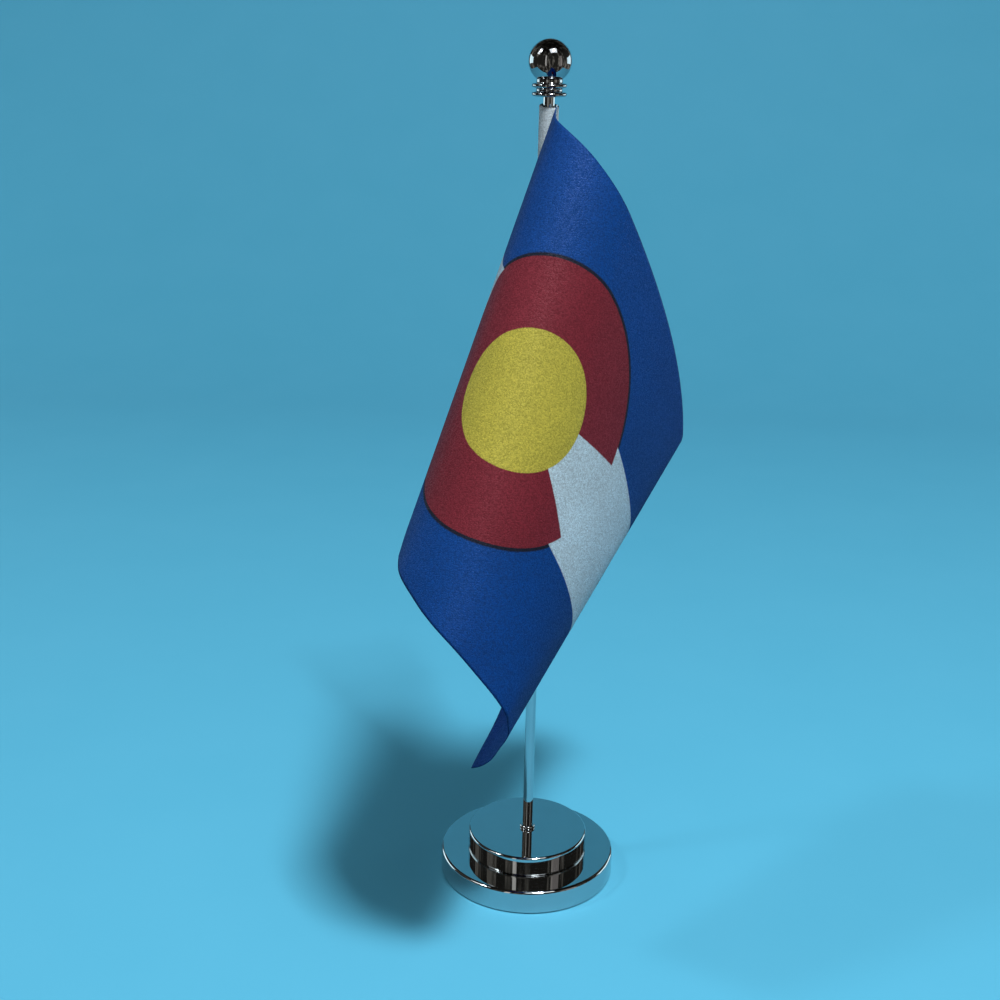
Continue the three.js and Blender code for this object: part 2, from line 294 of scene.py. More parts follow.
SHELL_WALL = 1.2 * MM
SHELL_EDGE = 1.2 * MM
UPPER_EDGE = 0.9 * MM
BUSH_WALL = 1.8 * MM
BUSH_CLEARANCE = 0.3 * MM
ROD_CLEARANCE = 0.3 * MM
SHARP_EDGE = 0.2 * MM
ROD_END = 0.5 * MM
COLLAR_EDGE = 0.45 * MM
GRIP_FIT = 0.1 * MM
BEAD = 0.72 * MM
COVE = 0.5 * MM
RING_HEIGHT = 1.5 * MM
RING_PITCH = 2.9 * MM
NECK_RADIUS = 4.55 * MM


def make_base(chrome, foam):
    bush_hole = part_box("rod")[1].x + BUSH_WALL + BUSH_CLEARANCE
    bush_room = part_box("clamp_bush")[1].z + BUSH_CLEARANCE

    low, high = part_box("lower_shell")
    inner = high.x - SHELL_WALL
    shell = ring_piece("lower_tier", [
        (inner, low.z), (high.x, low.z), (high.x, high.z), (bush_hole, high.z),
        (bush_hole, high.z - SHELL_WALL), (inner, high.z - SHELL_WALL),
    ], [([2], SHELL_EDGE, 10), ([0, 1, 3], SHARP_EDGE, 3)], LARGE_SIDES, chrome)
    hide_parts("lower_shell")

    low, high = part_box("upper_disc")
    rod_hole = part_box("rod")[1].x + ROD_CLEARANCE
    disc = ring_piece("upper_tier", [
        (bush_hole, low.z), (high.x, low.z), (high.x, high.z), (rod_hole, high.z),
        (rod_hole, bush_room), (bush_hole, bush_room),
    ], [([1, 2], UPPER_EDGE, 8), ([3], SHARP_EDGE, 3)], LARGE_SIDES, chrome)
    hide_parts("upper_disc")

    low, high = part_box("foot_pad")
    pad = round_bar("foam_foot", [(high.x, low.z), (high.x, high.z)], [([0, 1], SHARP_EDGE, 3)],
                    LARGE_SIDES, foam)
    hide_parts("foot_pad")
    for piece in (shell, disc, pad):
        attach(piece, "base")


def make_rod(chrome):
    low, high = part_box("rod")
    rod = round_bar("plated_rod", [(high.x, low.z), (high.x, high.z)], [([0, 1], ROD_END, 5)],
                    SMALL_SIDES, chrome)
    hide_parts("rod")
    low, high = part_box("rod_collar")
    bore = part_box("rod")[1].x + GRIP_FIT
    collar = ring_piece("foot_collar", [
        (bore, low.z), (high.x, low.z), (high.x, high.z), (bore, high.z),
    ], [([1, 2], COLLAR_EDGE, 6)], SMALL_SIDES, chrome)
    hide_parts("rod_collar")
    for piece in (rod, collar):
        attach(piece, "mast")


def make_finial(plate):
    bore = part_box("finial_bush")[1].x + GRIP_FIT
    low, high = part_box("finial_collar")
    ring = high.x
    first_top = low.z + RING_HEIGHT
    second = low.z + RING_PITCH
    second_top = second + RING_HEIGHT
    collar = ring_piece("turned_collar", [
        (bore, low.z), (ring, low.z), (ring, first_top),
        (NECK_RADIUS, first_top), (NECK_RADIUS, second),
        (ring, second), (ring, second_top),
        (NECK_RADIUS, second_top), (NECK_RADIUS, high.z), (bore, high.z),
    ], [([1, 2, 5, 6], BEAD, 8), ([3, 4, 7], COVE, 4)], FINIAL_SIDES, plate)
    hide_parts("finial_collar")

    low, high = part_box("finial_ball")
    radius = (high.x - low.x) / 2
    bore_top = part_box("finial_bush")[1].z + GRIP_FIT
    bpy.ops.object.select_all(action="DESELECT")
    bpy.ops.mesh.primitive_uv_sphere_add(
        segments=FINIAL_SIDES, ring_count=FINIAL_SIDES // 2, radius=radius,
        location=(0, 0, 0), enter_editmode=True)
    ball = bpy.context.object
    ball.name = "finial_sphere"
    ball.data.name = "finial_sphere"
    bpy.ops.transform.translate(value=(0, 0, high.z - radius))
    bpy.ops.mesh.bisect(plane_co=(0, 0, low.z), plane_no=(0, 0, 1), use_fill=True, clear_inner=True)
    select_faces(ball, lambda face: face.normal.z < -0.99 and face.calc_center_median().z < low.z + TINY)
    bpy.ops.mesh.inset(thickness=NECK_RADIUS - bore)
    bpy.ops.mesh.extrude_region_move(TRANSFORM_OT_translate={"value": (0, 0, bore_top - low.z)})
    close_piece(ball, plate)
    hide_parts("finial_ball")
    for piece in (collar, ball):
        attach(piece, "finial")


def select_faces(piece, wanted):
    """Selects only the faces for which wanted is true."""
    bpy.ops.mesh.select_mode(type="FACE")
    bpy.ops.mesh.select_all(action="DESELECT")
    mesh = bmesh.from_edit_mesh(piece.data)
    mesh.faces.ensure_lookup_table()
    for face in mesh.faces:
        face.select_set(bool(wanted(face)))
    bmesh.update_edit_mesh(piece.data)


def finish_hidden_nodes():
    """The inner pieces keep their CAD shapes and get real surfaces."""
    iron = cast_iron()
    zinc = turned_metal("zinc_steel", "#b9bdc2", "#8d9298", 0.34)
    brass = turned_metal("turned_brass", "#c9a55a", "#a07f3c", 0.28)
    surfaces = {
        "lower_weight": iron, "clamp_bush": zinc, "spring_washer": zinc, "flat_washer": zinc,
        "finial_bush": brass,
    }
    for node, surface in surfaces.items():
        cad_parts[node].data.materials.clear()
        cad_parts[node].data.materials.append(surface)


# ---- Flag: how the cloth hangs ------------------------------------------------------------------

# The cloth bends only across straight lines, so it keeps its cut size. Each stretch ends on the line that
# meets the top edge at the first length and the bottom edge at the second, both in millimetres from the
# hoist, and the cloth turns by the third number, in degrees, over the stretch.
DRAPE = [
    (-5, 47, 6),
    (-5, 82, 39),
    (18, 82, 8),
    (27, 108, 37),
    (31, 118, 20),
    (43, 132, 38),
    (66, 159, 33),
    (165, 160, 24),
    (178, 204, 32),
    (204, 224, 65),
]
DRAPE_HEADING = math.radians(225)
BENDS_PER_STRETCH = 24
BEND_BLUR = 4
BEND_UNEVENNESS = 0.22
UNEVEN_WIDTH = 5
BEND_SEED = 7
HOIST = 140 * MM
FLY = 210 * MM
HEADING = 5 * MM
CLOTH_THICKNESS = 0.25 * MM
SEAM_RADIUS = 4.1 * MM
CLOTH_STEP = 1.0 * MM


def smooth_noise(generator, count, width):
    """A row of random numbers about zero that change over about width places."""
    window = np.hanning(2 * width + 1)
    raw = generator.standard_normal(count + 2 * width)
    made = np.convolve(raw, window, "valid")
    return (made - made.mean()) / made.std()


def bend_lines():
    """Where each bend line meets the top and the bottom edge, and how far the cloth turns across it."""
    ends = np.array([(-HEADING / MM, -HEADING / MM, 0)] + DRAPE, float)
    share = (np.arange(BENDS_PER_STRETCH) + 0.5) / BENDS_PER_STRETCH
    tops = np.concatenate([a + (b - a) * share for a, b in zip(ends[:-1, 0], ends[1:, 0])]) * MM
    bottoms = np.concatenate([a + (b - a) * share for a, b in zip(ends[:-1, 1], ends[1:, 1])]) * MM
    turns = np.repeat(np.radians(ends[1:, 2]) / BENDS_PER_STRETCH, BENDS_PER_STRETCH)
    window = np.hanning(2 * BEND_BLUR + 3)[1:-1]
    window /= window.sum()
    turns = np.convolve(np.pad(turns, BEND_BLUR, "reflect"), window, "valid")
    uneven = smooth_noise(np.random.default_rng(BEND_SEED), len(turns), UNEVEN_WIDTH)
    stretches = (turns * (1 + BEND_UNEVENNESS * uneven)).reshape(len(DRAPE), BENDS_PER_STRETCH)
    stretches *= (np.radians(ends[1:, 2]) / stretches.sum(1))[:, None]
    return tops, bottoms, stretches.ravel()


def cloth_frames(tops, bottoms, turns):
    """Where each flat piece of cloth between two bend lines lies, for points (along, down, lift)."""
    along = Vector((math.cos(DRAPE_HEADING), math.sin(DRAPE_HEADING), 0))
    down = Vector((0, 0, -1))
    outward = along.cross(down)
    flag_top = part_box("flag_sleeve")[1].z
    seam = outward * SEAM_RADIUS + Vector((0, 0, flag_top))
    start = Matrix((along, down, outward)).transposed().to_4x4()
    place = Matrix.Translation(seam) @ start @ Matrix.Translation((HEADING, 0, 0))
    frames = [place]
    for top, bottom, turn in zip(tops, bottoms, turns):
        axis = Vector((top - bottom, -HOIST, 0)).normalized()
        to_line, from_line = Matrix.Translation((-top, 0, 0)), Matrix.Translation((top, 0, 0))
        place = place @ (from_line @ Matrix.Rotation(turn, 4, axis) @ to_line)
        frames.append(place)
    return np.array([[list(row) for row in place] for place in frames])


class Drape:
    """The hanging cloth's middle surface."""

    def __init__(self):
        self.tops, self.bottoms, turns = bend_lines()
        self.frames = cloth_frames(self.tops, self.bottoms, turns)

    def points(self, along, down, lift):
        """Places of flat points, as rows of x, y and z, lifted towards the cloth's right side."""
        crossing = self.tops[None, :] + (self.bottoms - self.tops)[None, :] * (down / HOIST)[:, None]
        passed = (along[:, None] > crossing).sum(1)
        flat = np.stack([along, down, lift, np.ones_like(along)], 1)
        return np.einsum("nij,nj->ni", self.frames[passed], flat)[:, :3]


# ---- Flag: cloth pieces -------------------------------------------------------------------------

def grid_mesh(name, points, columns, rows, flat_places, wrap=False):
    """A sheet from rows of points, with a UV map that says where on the flat cloth each point is."""
    def corner(i, j):
        return j * (columns + (0 if wrap else 1)) + (i % columns if wrap else i)
    faces = [(corner(i, j), corner(i, j + 1), corner(i + 1, j + 1), corner(i + 1, j))
             for j in range(rows) for i in range(columns)]
    mesh = bpy.data.meshes.new(name)
    mesh.from_pydata([tuple(p) for p in points], [], faces)
    layer = mesh.uv_layers.new(name="flat")
    spots = np.array([flat_places(i + di, j + dj) for j in range(rows) for i in range(columns)
                      for di, dj in ((0, 0), (0, 1), (1, 1), (1, 0))], np.float32)
    layer.data.foreach_set("uv", spots.ravel())
    piece = bpy.data.objects.new(name, mesh)
    bpy.context.scene.collection.objects.link(piece)
    mesh.polygons.foreach_set("use_smooth", [True] * len(mesh.polygons))
    mesh.update()
    return piece


def thicken(piece, materials):
    """Gives a sheet its thickness: right side, wrong side and cut edge each take their own material."""
    for material in materials:
        piece.data.materials.append(material)
    wall = piece.modifiers.new("thickness", "SOLIDIFY")
    wall.thickness = CLOTH_THICKNESS
    wall.offset = 0
    wall.material_offset = 1
    wall.material_offset_rim = 2
    bpy.ops.object.select_all(action="DESELECT")
    bpy.context.view_layer.objects.active = piece
    piece.select_set(True)
    bpy.ops.object.modifier_apply(modifier=wall.name)


PUCKER_DEPTH = 0.10 * MM
PUCKER_LENGTH = 5.0 * MM
PUCKER_REACH = 4.0 * MM
PUCKER_DRIFT = 17 * MM
EDGE_WAVE = 0.28 * MM
EDGE_REACH = 7 * MM
BOTTOM_WAVE = 4.1 * MM
BOTTOM_DRIFT = 13 * MM
BOTTOM_START = 20 * MM
FLY_WAVE = 5.3 * MM


def cloth_relief(along, down):
    """Small lifts of the cloth: puckers beside the seam, and a lazy wave along its free edges."""
    pucker = PUCKER_DEPTH * np.sin(2 * np.pi * down / PUCKER_LENGTH + 1.2 * np.sin(down / PUCKER_DRIFT))
    lift = pucker * np.exp(-((along + HEADING) / PUCKER_REACH) ** 2)
    bottom = np.exp(-((HOIST - down) / EDGE_REACH) ** 2)
    wave = np.sin(along / BOTTOM_WAVE + 0.8 * np.sin(along / BOTTOM_DRIFT))
    lift += EDGE_WAVE * bottom * wave * np.clip(along / BOTTOM_START, 0, 1)
    fly_end = np.exp(-((FLY - along) / EDGE_REACH) ** 2)
    lift += EDGE_WAVE * fly_end * np.sin(down / FLY_WAVE + 1.1)
    return lift


def make_flag(drape, materials):
    columns = round((FLY + HEADING) / CLOTH_STEP)
    rows = round(HOIST / CLOTH_STEP)
    along, down = np.meshgrid(np.linspace(-HEADING, FLY, columns + 1), np.linspace(0, HOIST, rows + 1))
    along, down = along.ravel(), down.ravel()
    points = drape.points(along, down, cloth_relief(along, down))
    flag = grid_mesh("printed_flag", points, columns, rows, lambda i, j: (i / columns, 1 - j / rows))
    thicken(flag, materials)
    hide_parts("flag_panel")
    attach(flag, "flag")
    return flag


SLEEVE_COLUMNS = 96
SLEEVE_ROWS = 140
SLEEVE_RADIUS = 3.25 * MM
SLEEVE_SLACK = 0.09 * MM
SLEEVE_PEAK = 0.55 * MM
SLEEVE_SPREAD = math.radians(26)
SEAM_AZIMUTH = math.radians(-45)
RIM_DIP = 1.1 * MM
RIM_DIP_AZIMUTH = math.radians(-75)
RIM_DIP_REACH = 6 * MM


def make_sleeve(materials):
    """The tube of cloth round the rod. It comes to a soft ridge where the heading is sewn to it."""
    low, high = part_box("flag_sleeve")
    columns, rows = SLEEVE_COLUMNS, SLEEVE_ROWS
    points = []
    for j in range(rows + 1):
        down = j / rows
        for i in range(columns):
            turn = 2 * math.pi * i / columns
            away = min(turn, 2 * math.pi - turn)
            radius = SLEEVE_RADIUS + SLEEVE_PEAK * math.exp(-(away / SLEEVE_SPREAD) ** 1.5)
            slack = math.sin(3 * turn + 5 * down) * math.sin(2 * turn + 11 * down + 1)
            radius += SLEEVE_SLACK * slack * min(1, away)
            azimuth = SEAM_AZIMUTH + turn
            from_top = down * (high.z - low.z)
            facing = 0.5 + 0.5 * math.cos(azimuth - RIM_DIP_AZIMUTH)
            dip = RIM_DIP * facing * math.exp(-from_top / RIM_DIP_REACH)
            points.append((radius * math.cos(azimuth), radius * math.sin(azimuth), high.z - from_top - dip))
    sleeve = grid_mesh(
        "rod_sleeve", points, columns, rows, lambda i, j: (i / columns, 1 - j / rows), wrap=True)
    thicken(sleeve, materials)
    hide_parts("flag_sleeve")
    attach(sleeve, "flag")
    return sleeve


STITCH_LENGTH = 2.1 * MM
STITCH_PITCH = 2.6 * MM
STITCH_RADIUS = 0.16 * MM
STITCH_END_GAP = 3 * MM
SEAM_INSET = 1.2 * MM


def make_stitches(drape, material):
    """Lockstitch along the heading: one stitch is shaped, then copied down both sides of the seam."""
    bpy.ops.object.select_all(action="DESELECT")
    bpy.ops.mesh.primitive_cylinder_add(
        vertices=6, radius=STITCH_RADIUS, depth=STITCH_LENGTH / 2, location=(0, 0, 0), enter_editmode=True)
    stitch = bpy.context.object
    for side in (1, -1):
        select_faces(stitch, lambda face: face.normal.z * side > 0.9)
        bpy.ops.mesh.extrude_region_move(TRANSFORM_OT_translate={"value": (0, 0, side * STITCH_LENGTH / 4)})
        bpy.ops.transform.resize(value=(0.35, 0.35, 1), center_override=(0, 0, side * STITCH_LENGTH / 2))
    bpy.ops.object.mode_set(mode="OBJECT")
    bpy.ops.object.shade_smooth()
    copies = []
    near = SEAM_INSET - HEADING
    count = int((HOIST - 2 * STITCH_END_GAP) / STITCH_PITCH)
    half = STITCH_LENGTH / 2
    proud = CLOTH_THICKNESS / 2 + 0.6 * STITCH_RADIUS
    for side in (1, -1):
        for i in range(count):
            middle = STITCH_END_GAP + STITCH_PITCH * (i + 0.5)
            down = np.array([middle - half, middle, middle + half])
            along = np.full(3, near)
            start, centre, end = drape.points(along, down, cloth_relief(along, down) + side * proud)
            copy = stitch.copy()
            copy.data = stitch.data.copy()
            bpy.context.scene.collection.objects.link(copy)
            turned = Vector(start - end).to_track_quat("Z", "Y").to_matrix().to_4x4()
            copy.data.transform(Matrix.Translation(centre) @ turned)
            copies.append(copy)
    bpy.data.objects.remove(stitch)
    bpy.ops.object.select_all(action="DESELECT")
    for copy in copies:
        copy.select_set(True)
    bpy.context.view_layer.objects.active = copies[0]
    bpy.ops.object.join()
    stitches = bpy.context.object
    stitches.name = "seam_stitches"
    stitches.data.name = "seam_stitches"
    stitches.data.materials.append(material)
    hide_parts("seam_thread")
    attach(stitches, "flag")
    return stitches


# ---- Flag: cloth surfaces -----------------------------------------------------------------------

# Each flat cloth in millimetres: its width, its height, and how much width lies before the hoist line.
FLAG_FLAT = (215, 140, 5)
SLEEVE_FLAT = (22, 140, 0)
# The print, in millimetres on the flat cloth: three even stripes, and a ring with a gap round a disc.
PRINT_CENTRE = (86, 70)
DISC_RADIUS = 23.3
RING_RADIUS = 47.2
RING_GAP = math.radians(21.5)
OUTLINE_WIDTH = 1.2
STRIPE = FLAG_FLAT[1] / 3
INK_BLEED = 0.35
CUT_EDGE = 0.55
# Pongee has 0.25 mm between threads, too fine to show, so they are drawn this far apart.
THREAD_SPACING = 0.55
# Single crossings of threads catch the light; they too are drawn coarser than the real 0.25 mm. Their
# glints are painted into the colour, each crossing lighter or darker at random, as well as set in the
# roughness.
CROSSING_SPACING = 0.38


def flat_place(tree, flat):
    """Millimetres on the flat cloth: along the fly from the hoist line, and down from the top edge."""
    width, height, margin = flat
    spot = put(tree, "ShaderNodeUVMap", uv_map="flat").outputs[0]
    return put(tree, "ShaderNodeMapping", {
        "Vector": spot, "Location": (-margin, height, 0), "Scale": (width, -height, 1)}).outputs[0]


def weave(tree, place):
    """A plain weave's relief and its fine streaks: (relief, streaks), both about a half."""
    slack = put(tree, "ShaderNodeTexNoise", {"Vector": place, "Scale": 0.4, "Detail": 2})
    drawn = put(tree, "ShaderNodeVectorMath", {
        0: slack.outputs["Color"], 1: (1.6, 1.6, 0), 2: place}, operation="MULTIPLY_ADD")
    per_thread = math.pi / THREAD_SPACING
    waves = put(tree, "ShaderNodeVectorMath", {
        0: drawn.outputs[0], 1: (per_thread, per_thread, 0)}, operation="MULTIPLY")
    sines = put(tree, "ShaderNodeVectorMath", {0: waves.outputs[0]}, operation="SINE")
    parts = put(tree, "ShaderNodeSeparateXYZ", {0: sines.outputs[0]})
    check = put(tree, "ShaderNodeMath", {0: parts.outputs[0], 1: parts.outputs[1]}, operation="MULTIPLY")
    weft = put(tree, "ShaderNodeTexNoise", {
        "Vector": put(tree, "ShaderNodeMapping", {"Vector": place, "Scale": (0.35, 2.2, 1)}).outputs[0],
        "Scale": 1, "Detail": 3, "Roughness": 0.75})
    warp = put(tree, "ShaderNodeTexNoise", {
        "Vector": put(tree, "ShaderNodeMapping", {"Vector": place, "Scale": (2.4, 0.5, 1)}).outputs[0],
        "Scale": 1, "Detail": 3, "Roughness": 0.75})
    streaks = put(tree, "ShaderNodeMath", {0: weft.outputs[0], 1: warp.outputs[0]}, operation="ADD")
    streaks = put(tree, "ShaderNodeMath", {0: streaks.outputs[0], 1: 0.5}, operation="MULTIPLY")
    relief = put(tree, "ShaderNodeMath", {
        0: check.outputs[0], 1: 0.12, 2: streaks.outputs[0]}, operation="MULTIPLY_ADD")
    return relief.outputs[0], streaks.outputs[0]


def step_at(tree, value, edge, soft=INK_BLEED):
    """0 below edge and 1 above it, with a soft change between."""
    return put(tree, "ShaderNodeMapRange", {
        "Value": value, "From Min": edge - soft / 2, "From Max": edge + soft / 2},
        interpolation_type="SMOOTHSTEP").outputs[0]


def layered(tree, below, share, above):
    """One colour over another by a share."""
    return put(tree, "ShaderNodeMix", {MIX_SHARE: share, MIX_FIRST: below, MIX_SECOND: above},
               data_type="RGBA").outputs[MIX_COLOUR]


def product(tree, first, second):
    return put(tree, "ShaderNodeMath", {0: first, 1: second}, operation="MULTIPLY").outputs[0]


def inverse(tree, value):
    return put(tree, "ShaderNodeMath", {0: 1.0, 1: value}, operation="SUBTRACT").outputs[0]


INKS = {
    "white": "#cbdbe2",
    "blue": "#084b96",
    "red": "#862c39",
    "gold": "#c3b84e",
    "outline": "#1c2233",
}


def printed_colour(tree, place):
    """The printed colours at a place on the flat cloth."""
    bleed = put(tree, "ShaderNodeTexNoise", {"Vector": place, "Scale": 1.6, "Detail": 2})
    shift = put(tree, "ShaderNodeVectorMath", {
        0: bleed.outputs["Color"], 1: (0.3, 0.3, 0), 2: (-0.15, -0.15, 0)}, operation="MULTIPLY_ADD")
    rough = put(tree, "ShaderNodeVectorMath", {0: place, 1: shift.outputs[0]}, operation="ADD").outputs[0]
    parts = put(tree, "ShaderNodeSeparateXYZ", {0: rough})
    along, down = parts.outputs[0], parts.outputs[1]
    from_centre = put(tree, "ShaderNodeVectorMath", {0: rough, 1: (*PRINT_CENTRE, 0)}, operation="SUBTRACT")
    away = put(tree, "ShaderNodeVectorMath", {
        0: from_centre.outputs[0]}, operation="LENGTH").outputs["Value"]
    offset = put(tree, "ShaderNodeSeparateXYZ", {0: from_centre.outputs[0]})
    angle = put(tree, "ShaderNodeMath", {0: offset.outputs[1], 1: offset.outputs[0]}, operation="ARCTAN2")
    wide = put(tree, "ShaderNodeMath", {0: angle.outputs[0]}, operation="ABSOLUTE").outputs[0]

    middle = product(tree, step_at(tree, down, STRIPE), inverse(tree, step_at(tree, down, 2 * STRIPE)))
    beside_gap = step_at(tree, wide, RING_GAP, 0.012)
    inside_ring = inverse(tree, step_at(tree, away, RING_RADIUS))
    ring = product(tree, inside_ring, beside_gap)
    inside_line = inverse(tree, step_at(tree, away, RING_RADIUS + OUTLINE_WIDTH, 0.7))
    outline = product(tree, inside_line, inverse(tree, middle))
    disc = inverse(tree, step_at(tree, away, DISC_RADIUS))

    colour = layered(tree, linear(INKS["blue"]), middle, linear(INKS["white"]))
    colour = layered(tree, colour, outline, linear(INKS["outline"]))
    colour = layered(tree, colour, ring, linear(INKS["red"]))
    colour = layered(tree, colour, disc, linear(INKS["gold"]))
    return layered(tree, linear(INKS["white"]), step_at(tree, along, 0, 0.3), colour)


def edge_share(tree, place, flat):
    """1 along the cut edges of the flat cloth and 0 away from them."""
    width, height, margin = flat
    parts = put(tree, "ShaderNodeSeparateXYZ", {0: place})
    shares = []
    for value, low, high in ((parts.outputs[0], -margin, width - margin), (parts.outputs[1], 0, height)):
        shares.append(inverse(tree, step_at(tree, value, low + CUT_EDGE, CUT_EDGE)))
        shares.append(step_at(tree, value, high - CUT_EDGE, CUT_EDGE))
    total = shares[0]
    for share in shares[1:]:
        total = put(tree, "ShaderNodeMath", {0: total, 1: share}, operation="MAXIMUM").outputs[0]
    return total


def cloth(name, flat, colour_of, shade, through):
    """Woven polyester, heat-cut: a soft satin sheen, a sparkling grain where single threads catch the
    light, painted into the colour as painted glints as well as set in the roughness, slightly darker fused
    edges, and some light let through."""
    material, tree = new_material(name)
    place = flat_place(tree, flat)
    relief, streaks = weave(tree, place)
    colour = colour_of(tree, place)
    edge = edge_share(tree, place, flat)
    grain = put(tree, "ShaderNodeTexNoise", {"Vector": place, "Scale": 1.3, "Detail": 3, "Roughness": 0.85})
    crossings = put(tree, "ShaderNodeTexVoronoi", {"Vector": place, "Scale": 1 / CROSSING_SPACING})
    crossing = put(tree, "ShaderNodeSeparateXYZ", {0: crossings.outputs["Color"]}).outputs[0]
    # Painted glints: each thread crossing's colour is made up to 24% lighter or darker, standing in for
    # light caught by single threads.
    painted_glints = put(tree, "ShaderNodeMapRange", {"Value": crossing, "To Min": 0.76, "To Max": 1.24})
    clouds = put(tree, "ShaderNodeTexNoise", {"Vector": place, "Scale": 0.035, "Detail": 3})
    tone = put(tree, "ShaderNodeMapRange", {
        "Value": grain.outputs[0], "From Min": 0.3, "From Max": 0.7, "To Min": 0.92, "To Max": 1.08})
    patch = put(tree, "ShaderNodeMapRange", {
        "Value": clouds.outputs[0], "From Min": 0.3, "From Max": 0.7, "To Min": 0.94, "To Max": 1.06})
    streak = put(tree, "ShaderNodeMapRange", {
        "Value": streaks, "From Min": 0.3, "From Max": 0.7, "To Min": 0.93, "To Max": 1.07})
    level = product(tree, product(tree, tone.outputs[0], patch.outputs[0]), streak.outputs[0])
    level = product(tree, level, painted_glints.outputs[0])
    level = product(tree, level, put(tree, "ShaderNodeMapRange", {
        "Value": edge, "To Min": shade, "To Max": 0.8 * shade}).outputs[0])
    dyed = put(tree, "ShaderNodeVectorMath", {0: colour, "Scale": level}, operation="SCALE").outputs[0]
    glint = put(tree, "ShaderNodeMapRange", {"Value": crossing, "To Min": 0.85, "To Max": 0.45})
    relief = put(tree, "ShaderNodeMath", {
        0: crossings.outputs["Distance"], 1: -0.8, 2: relief}, operation="MULTIPLY_ADD").outputs[0]
    bump = put(tree, "ShaderNodeBump", {"Height": relief, "Strength": 1, "Distance": 0.1 * MM})
    surface = put(tree, "ShaderNodeBsdfPrincipled", {
        "Base Color": dyed, "Roughness": glint.outputs[0], "IOR": 1.45, "Sheen Weight": 0.04,
        "Sheen Roughness": 0.4, "Sheen Tint": linear("#9fc0ff"), "Specular IOR Level": 0.3,
        "Normal": bump.outputs[0]})
    glow = put(tree, "ShaderNodeBsdfTranslucent", {"Color": dyed, "Normal": bump.outputs[0]})
    both = put(tree, "ShaderNodeMixShader", {0: through, 1: surface.outputs[0], 2: glow.outputs[0]})
    put(tree, "ShaderNodeOutputMaterial", {"Surface": both.outputs[0]})
    return material


def shaded_sleeve_white(tree, place):
    """Undyed cloth, a touch warmer and cooler in broad patches, and painted grey as shade: the sleeve is
    set darker than the flag's white print because it hangs in shade with the dark rod inside it.
    """
    patches = put(tree, "ShaderNodeTexNoise", {"Vector": place, "Scale": 0.08, "Detail": 2})
    # Both greys are painted shade, darker than the flag's white ink.
    return layered(tree, linear("#b6c0c6"), patches.outputs[0], linear("#bdc6ca"))


def white_thread():
    """Spun polyester sewing thread: soft and white, with its twist as fine slanting ridges, and painted
    shade in the grooves between them.
    """
    material, tree = new_material("sewing_thread")
    place = put(tree, "ShaderNodeTexCoord").outputs["Object"]
    twist = put(tree, "ShaderNodeTexWave", {
        "Vector": place, "Scale": WAVE_LENGTH / THREAD_TWIST, "Distortion": 1}, wave_type="BANDS",
        bands_direction="DIAGONAL")
    # Painted shade: the colour follows the twist's relief, darker in the grooves and lighter on the ridges.
    tone = put(tree, "ShaderNodeMix", {
        MIX_SHARE: twist.outputs["Fac"], MIX_FIRST: linear("#d4dde2"), MIX_SECOND: linear("#eef3f5")},
        data_type="RGBA")
    bump = put(tree, "ShaderNodeBump", {"Height": twist.outputs["Fac"], "Distance": 0.04 * MM})
    shader = put(tree, "ShaderNodeBsdfPrincipled", {
        "Base Color": tone.outputs[MIX_COLOUR], "Roughness": 0.6, "Sheen Weight": 0.3,
        "Normal": bump.outputs[0]})
    put(tree, "ShaderNodeOutputMaterial", {"Surface": shader.outputs[0]})
    return material


# ---- Studio -------------------------------------------------------------------------------------

FLOOR_HALF_WIDTH = 0.7
FLOOR_FRONT = -0.16
SWEEP_START = 0.7
SWEEP_RADIUS = 0.6
SWEEP_STEPS = 24
WALL_HEIGHT = 0.35
ROOM_DARK = "#302f2c"
ROOM_LIGHT = "#9b978e"
LIGHT_TARGET = Vector((0, -0.03, 0.2))
COOL_LIGHT = (0.94, 1, 1.04)
BLUE_LIGHT = (0.7, 0.95, 1.04)


def make_floor():
    """A plain pale sheet of blue paper that lies flat and sweeps up into a wall behind."""
    bpy.ops.object.select_all(action="DESELECT")
    bpy.ops.mesh.primitive_plane_add(size=2 * FLOOR_HALF_WIDTH, location=(0, 0, 0), enter_editmode=True)
    floor = bpy.context.object
    floor.name = "studio_sweep"
    depth = SWEEP_START - FLOOR_FRONT
    bpy.ops.transform.resize(value=(1, depth / (2 * FLOOR_HALF_WIDTH), 1), center_override=(0, 0, 0))
    bpy.ops.transform.translate(value=(0, SWEEP_START - depth / 2, 0))
    bpy.ops.mesh.select_mode(type="EDGE")
    bpy.ops.mesh.select_all(action="DESELECT")
    mesh = bmesh.from_edit_mesh(floor.data)
    for edge in mesh.edges:
        edge.select_set(all(v.co.y > SWEEP_START - TINY for v in edge.verts))
    bmesh.update_edit_mesh(floor.data)
    for i in range(SWEEP_STEPS):
        old, new = (math.pi / 2 * k / SWEEP_STEPS for k in (i, i + 1))
        back = SWEEP_RADIUS * (math.sin(new) - math.sin(old))
        rise = SWEEP_RADIUS * (math.cos(old) - math.cos(new))
        bpy.ops.mesh.extrude_region_move(TRANSFORM_OT_translate={"value": (0, back, rise)})
    bpy.ops.mesh.extrude_region_move(TRANSFORM_OT_translate={"value": (0, 0, WALL_HEIGHT)})
    bpy.ops.object.mode_set(mode="OBJECT")
    bpy.ops.object.shade_smooth()
    material, tree = new_material("studio_paper")
    place = put(tree, "ShaderNodeTexCoord").outputs["Object"]
    pulp = put(tree, "ShaderNodeTexNoise", {"Vector": place, "Scale": 1 / (60 * MM), "Detail": 3})
    tone = put(tree, "ShaderNodeMix", {
        MIX_SHARE: pulp.outputs[0], MIX_FIRST: linear("#469bb8"), MIX_SECOND: linear("#4b9ebb")},
        data_type="RGBA")
    shader = put(tree, "ShaderNodeBsdfPrincipled", {
        "Base Color": tone.outputs[MIX_COLOUR], "Roughness": 0.8})
    put(tree, "ShaderNodeOutputMaterial", {"Surface": shader.outputs[0]})
    floor.data.materials.append(material)


